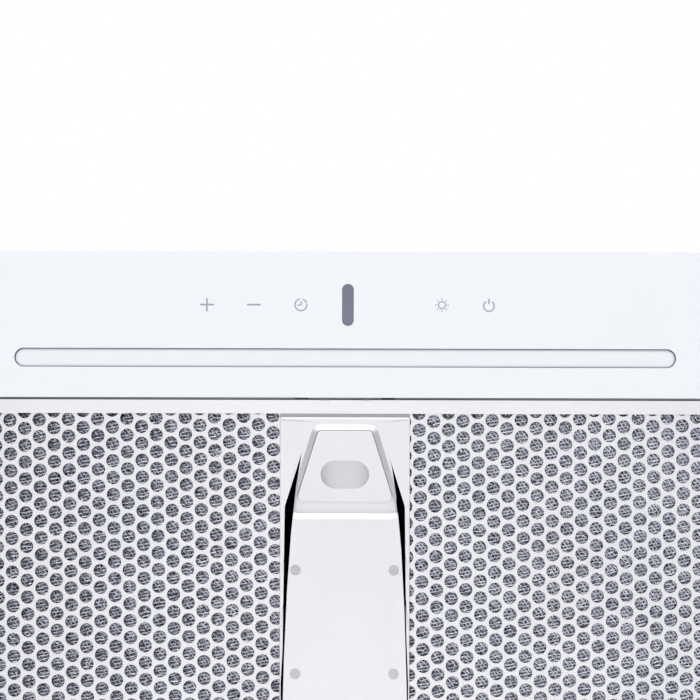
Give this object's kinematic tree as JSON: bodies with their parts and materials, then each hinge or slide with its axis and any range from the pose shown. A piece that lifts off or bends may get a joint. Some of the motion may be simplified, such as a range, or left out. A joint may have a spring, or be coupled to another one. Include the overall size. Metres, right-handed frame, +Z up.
{
  "type": "under cabinet range hood",
  "caption": "Slim white hood for under a wall cabinet, with a flush glass touch strip and light bar, a drop-down mesh grease filter with a slide latch, twin blowers and a duct spigot.",
  "frame": {"origin": "centre of the top face, which is screwed up against the cabinet", "axes": "+X to the right of someone facing the hob, +Y towards the wall, +Z up"},
  "size_m": [0.598, 0.3, 0.195],
  "materials": {
    "powder_coat": "white powder coat, fine texture",
    "galvanised": "galvanised sheet, faint spangle",
    "white_glass": "toughened glass, white back print",
    "black_rubber": "matt",
    "smoke_acrylic": "translucent grey, polished",
    "opal_acrylic": "opal, satin",
    "bare_aluminium": "mill finish",
    "brushed_aluminium": "brushed along its length",
    "pale_aluminium": "satin, clear lacquer",
    "mesh_foil": "slit and stretched foil",
    "white_board": "white solder mask",
    "led_phosphor": "phosphor gel",
    "green_board": "green solder mask",
    "gold_spring": "gold plated",
    "black_plastic": "moulded, fine texture",
    "grey_plastic": "moulded, fine texture",
    "white_plastic": "moulded",
    "pearl_plastic": "painted silver white",
    "coil_copper": "enamelled copper winding",
    "motor_steel": "zinc plated, drawn",
    "bright_steel": "zinc plated",
    "grey_foam": "closed-cell foam",
    "white_sleeve": "silicone sleeve",
    "grey_sleeve": "flat cable"
  },
  "bodies": {
    "hood": {"top_panel": "powder_coat", "back_panel": "powder_coat", "side_panel_left": "powder_coat", "side_panel_right": "powder_coat", "front_fascia": "powder_coat", "bottom_frame": "powder_coat", "cross_rail": "galvanised", "control_glass": "white_glass", "glass_gasket": "black_rubber", "display_window": "smoke_acrylic", "light_lens": "opal_acrylic", "light_channel": "bare_aluminium", "led_board": "white_board", "led_chips": "led_phosphor", "touch_board": "green_board", "touch_springs": "gold_spring", "display_module": "black_plastic", "control_tray": "grey_plastic", "power_box": "grey_plastic", "power_box_lid": "grey_plastic", "power_board": "green_board", "transformer": "coil_copper", "run_capacitors": "white_plastic", "terminal_block": "black_plastic", "cable_gland": "black_rubber", "scroll_left": "galvanised", "scroll_right": "galvanised", "inlet_rings": "galvanised", "guard_rods": "bright_steel", "motor_left": "motor_steel", "motor_right": "motor_steel", "motor_stators": "coil_copper", "motor_bearings": "bright_steel", "rubber_mounts": "black_rubber", "blower_screws": "bright_steel", "plenum_box": "galvanised", "duct_collar": "black_plastic", "collar_gasket": "grey_foam", "flap_pin": "bright_steel", "hinge_brackets": "galvanised", "shell_screws": "bright_steel", "motor_leads": "white_sleeve", "ribbon_cable": "grey_sleeve"},
    "filter": {"filter_frame": "brushed_aluminium", "perforated_sheet": "pale_aluminium", "mesh_pack": "mesh_foil", "back_grid": "bare_aluminium", "latch_plate": "pale_aluminium", "latch_housing": "black_plastic", "latch_springs": "bright_steel", "plate_rivets": "bare_aluminium"},
    "latch": {"latch_paddle": "pearl_plastic"},
    "rotor_assembly_left": {"rotor_left": "bright_steel", "impeller_left": "black_plastic", "impeller_nut_left": "bright_steel"},
    "rotor_assembly_right": {"rotor_right": "bright_steel", "impeller_right": "black_plastic", "impeller_nut_right": "bright_steel"},
    "front_flap": {"flap_front": "grey_plastic"},
    "rear_flap": {"flap_rear": "grey_plastic"}
  },
  "joints": [
    {"name": "filter_drop", "type": "hinge", "parent": "hood", "child": "filter", "pos_m": [0, 0.1222, -0.1348], "axis": [1, 0, 0], "range_deg": [0, 75]},
    {"name": "latch_slide", "type": "slide", "parent": "filter", "child": "latch", "axis": [0, 1, 0], "range_m": [0, 0.005], "stiffness_N_per_m": 800, "springref_m": -0.004, "deforming": ["latch_springs"]},
    {"name": "impeller_left_spin", "type": "hinge", "parent": "hood", "child": "rotor_assembly_left", "pos_m": [-0.1642, 0.0265, -0.05], "axis": [0, 0, 1], "continuous": true},
    {"name": "impeller_right_spin", "type": "hinge", "parent": "hood", "child": "rotor_assembly_right", "pos_m": [0.1642, 0.0265, -0.05], "axis": [0, 0, 1], "continuous": true},
    {"name": "flap_front_swing", "type": "hinge", "parent": "hood", "child": "front_flap", "pos_m": [0, 0.0745, 0.003], "axis": [-1, 0, 0], "range_deg": [0, 75]},
    {"name": "flap_rear_swing", "type": "hinge", "parent": "hood", "child": "rear_flap", "pos_m": [0, 0.0745, 0.003], "axis": [1, 0, 0], "range_deg": [0, 75]}
  ]
}
